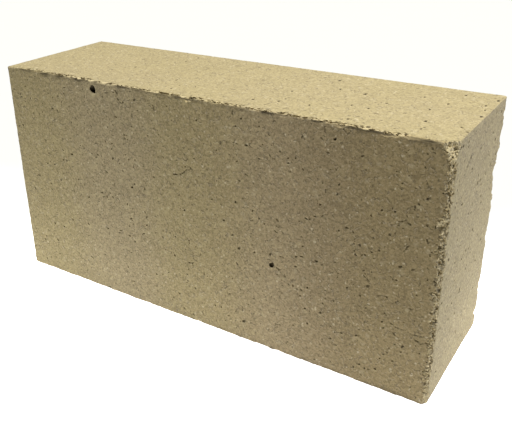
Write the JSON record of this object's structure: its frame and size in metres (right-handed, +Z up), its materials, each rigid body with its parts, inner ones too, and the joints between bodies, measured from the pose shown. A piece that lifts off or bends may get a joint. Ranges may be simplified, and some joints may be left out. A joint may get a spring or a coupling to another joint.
{
  "type": "refractory firebrick",
  "caption": "Plain rectangular fireclay firebrick standing on its long narrow side, with one broken arris and a knocked-off corner, for lining hearths, kilns and stoves.",
  "frame": {"origin": "centre of the long narrow face that the brick stands on", "axes": "+X along the brick's length, -Y out of the large face at the front, +Z up"},
  "size_m": [0.25, 0.076, 0.124],
  "materials": {
    "fireclay": "matte fired clay with grog grain and fine pores"
  },
  "bodies": {
    "root": {"firebrick": "fireclay"}
  },
  "joints": []
}
